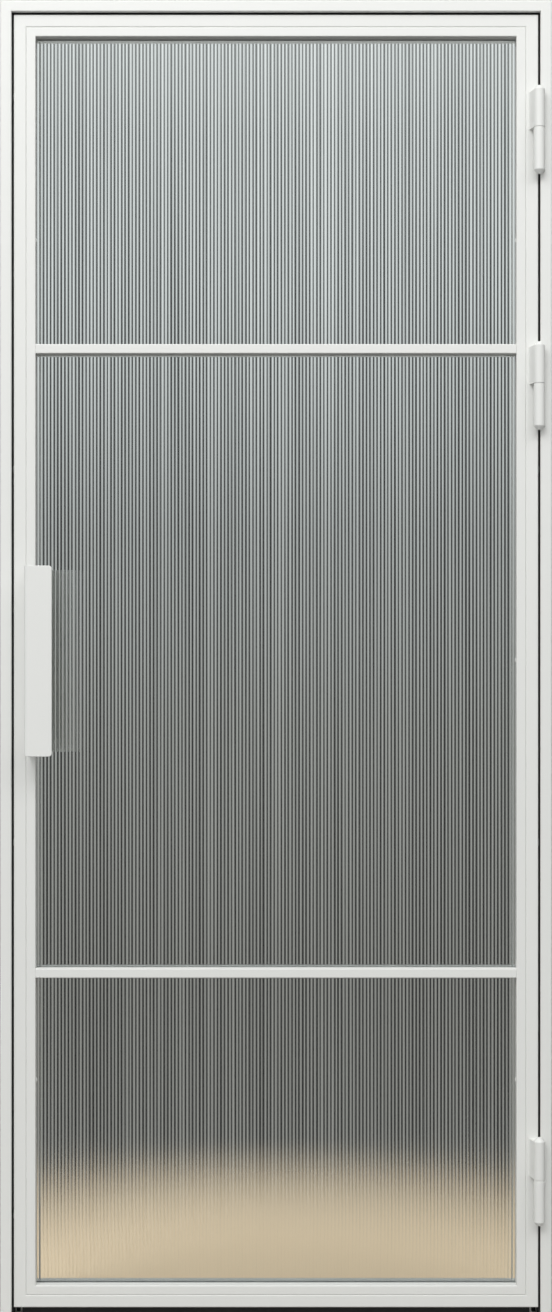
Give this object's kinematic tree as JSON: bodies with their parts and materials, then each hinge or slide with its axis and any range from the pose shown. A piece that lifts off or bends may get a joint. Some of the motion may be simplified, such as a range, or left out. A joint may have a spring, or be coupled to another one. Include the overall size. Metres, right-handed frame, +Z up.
{
  "type": "loft-style interior door",
  "caption": "Glazed steel interior door in its frame: a slim tube leaf with fluted glass, cross bars and a plate pull on each face, hung on lift-off hinges.",
  "frame": {"origin": "at floor level on the wall face of the hinge jamb, half way through its depth", "axes": "+X out of the hinge jamb's wall face, along the wall; -Y towards the side the leaf is pulled to; +Z up"},
  "size_m": [0.88, 0.16, 2.11],
  "materials": {
    "white_powder_coat": "white powder coat with a satin sheen on welded steel",
    "fluted_glass": "clear glass with upright flutes on its front and a smooth back",
    "black_rubber": "matte black extruded rubber",
    "glazing_tape": "closed-cell grey foam tape",
    "hinge_steel": "bright turned steel, lightly greased",
    "bearing_ring": "white moulded nylon"
  },
  "bodies": {
    "frame": {"jamb_hinge_side": "white_powder_coat", "jamb_strike_side": "white_powder_coat", "head": "white_powder_coat", "stop_hinge_side": "white_powder_coat", "stop_strike_side": "white_powder_coat", "stop_top": "white_powder_coat", "seal_hinge_side": "black_rubber", "seal_strike_side": "black_rubber", "seal_top": "black_rubber", "hinge_bottom_frame_half": "white_powder_coat", "hinge_bottom_pin": "hinge_steel", "hinge_bottom_ring": "bearing_ring", "hinge_middle_frame_half": "white_powder_coat", "hinge_middle_pin": "hinge_steel", "hinge_middle_ring": "bearing_ring", "hinge_top_frame_half": "white_powder_coat", "hinge_top_pin": "hinge_steel", "hinge_top_ring": "bearing_ring"},
    "leaf": {"stile_hinge_side": "white_powder_coat", "stile_strike_side": "white_powder_coat", "rail_bottom": "white_powder_coat", "rail_top": "white_powder_coat", "bead_front_hinge_side": "white_powder_coat", "bead_front_strike_side": "white_powder_coat", "bead_front_bottom": "white_powder_coat", "bead_front_top": "white_powder_coat", "bar_front_lower": "white_powder_coat", "bar_front_upper": "white_powder_coat", "bead_back_hinge_side": "white_powder_coat", "bead_back_strike_side": "white_powder_coat", "bead_back_bottom": "white_powder_coat", "bead_back_top": "white_powder_coat", "bar_back_lower": "white_powder_coat", "bar_back_upper": "white_powder_coat", "glass_pane": "fluted_glass", "glazing_tape_front": "glazing_tape", "glazing_tape_back": "glazing_tape", "handle_front": "white_powder_coat", "handle_back": "white_powder_coat", "drop_seal": "black_rubber", "hinge_bottom_leaf_half": "white_powder_coat", "hinge_middle_leaf_half": "white_powder_coat", "hinge_top_leaf_half": "white_powder_coat"}
  },
  "joints": [
    {"name": "leaf_hinge", "type": "hinge", "parent": "frame", "child": "leaf", "pos_m": [-0.021, -0.0425, 0.2265], "axis": [0, 0, 1], "range_deg": [0, 170]}
  ]
}
